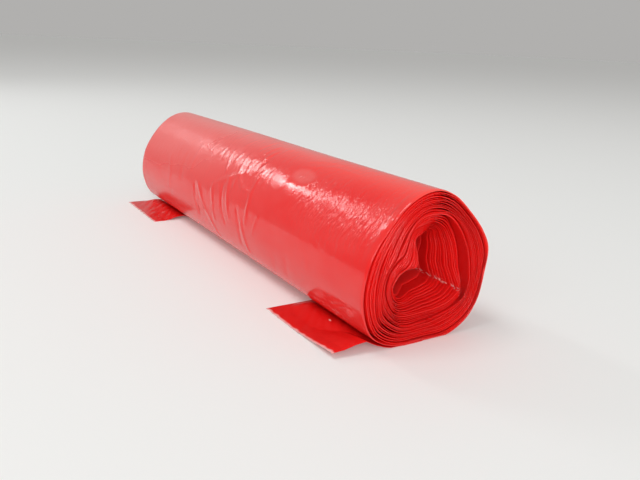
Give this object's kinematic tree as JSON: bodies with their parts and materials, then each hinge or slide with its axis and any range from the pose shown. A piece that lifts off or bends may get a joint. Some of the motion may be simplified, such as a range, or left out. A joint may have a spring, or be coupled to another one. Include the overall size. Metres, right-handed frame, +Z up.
{
  "type": "roll of bin bags",
  "caption": "Coreless roll of folded film bin bags with tie handles, lying on its side, with the torn-off handles of the next bag leading out from under it.",
  "frame": {"origin": "on the floor, under the middle of the whole part with its handles", "axes": "+X along the roll, -Y the way that the loose handles point, +Z up"},
  "size_m": [0.3, 0.081, 0.069],
  "materials": {
    "film": "glossy soft polythene film"
  },
  "bodies": {
    "root": {"bag_roll": "film"}
  },
  "joints": []
}
